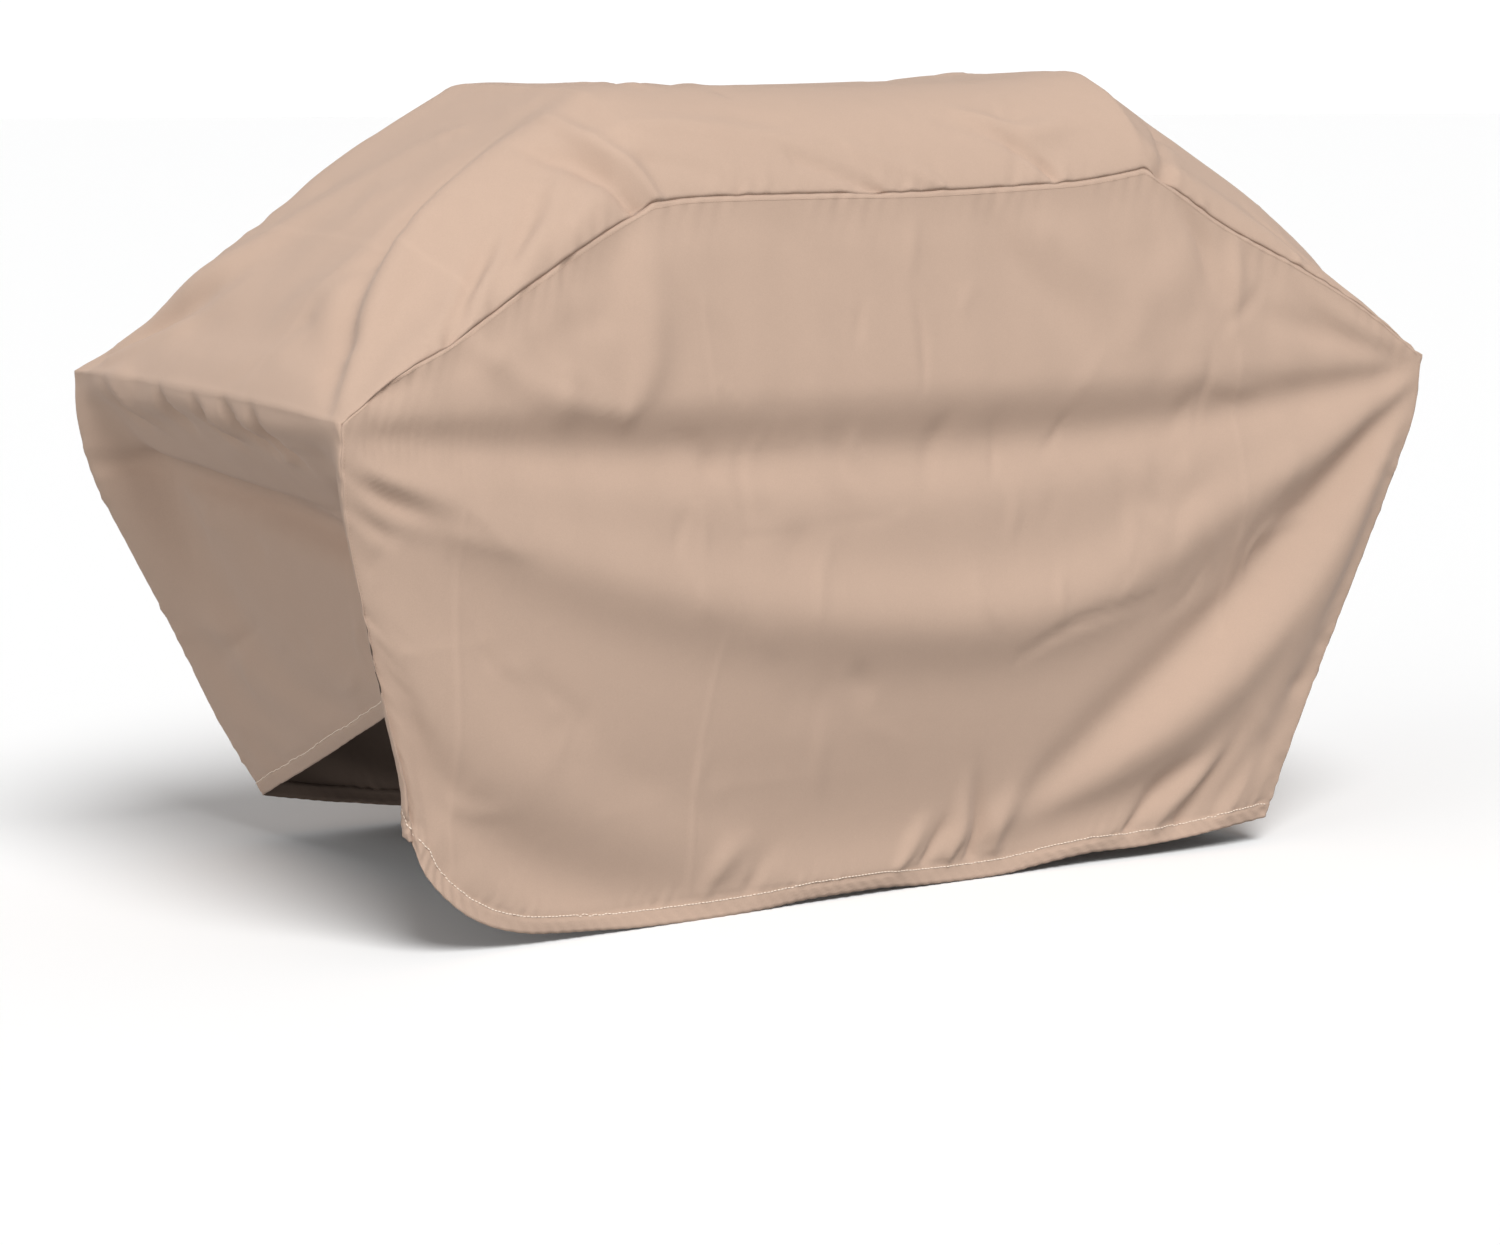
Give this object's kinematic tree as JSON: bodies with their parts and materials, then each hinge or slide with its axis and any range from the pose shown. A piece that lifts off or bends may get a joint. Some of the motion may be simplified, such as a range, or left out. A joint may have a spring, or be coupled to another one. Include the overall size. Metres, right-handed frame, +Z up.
{
  "type": "grill cover",
  "caption": "Fitted fabric cover for a cart grill with side shelves: front and back panels sewn to a wrap over the ends and hood, open below, with a stitched hem.",
  "frame": {"origin": "bottom centre of the bounding box: at the level of the lowest hem, under the middle of the cover", "axes": "+X along the grill's width, +Y from the front panel to the back panel, +Z up"},
  "size_m": [1.5, 0.7012, 0.94],
  "materials": {
    "cloth": "matte",
    "thread": "matte"
  },
  "bodies": {
    "root": {"front_panel": "cloth", "back_panel": "cloth", "wrap_panel": "cloth", "front_hem": "cloth", "back_hem": "cloth", "left_hem": "cloth", "right_hem": "cloth", "front_hem_thread": "thread", "back_hem_thread": "thread", "left_hem_thread": "thread", "right_hem_thread": "thread", "front_seam_thread": "thread", "back_seam_thread": "thread"}
  },
  "joints": []
}
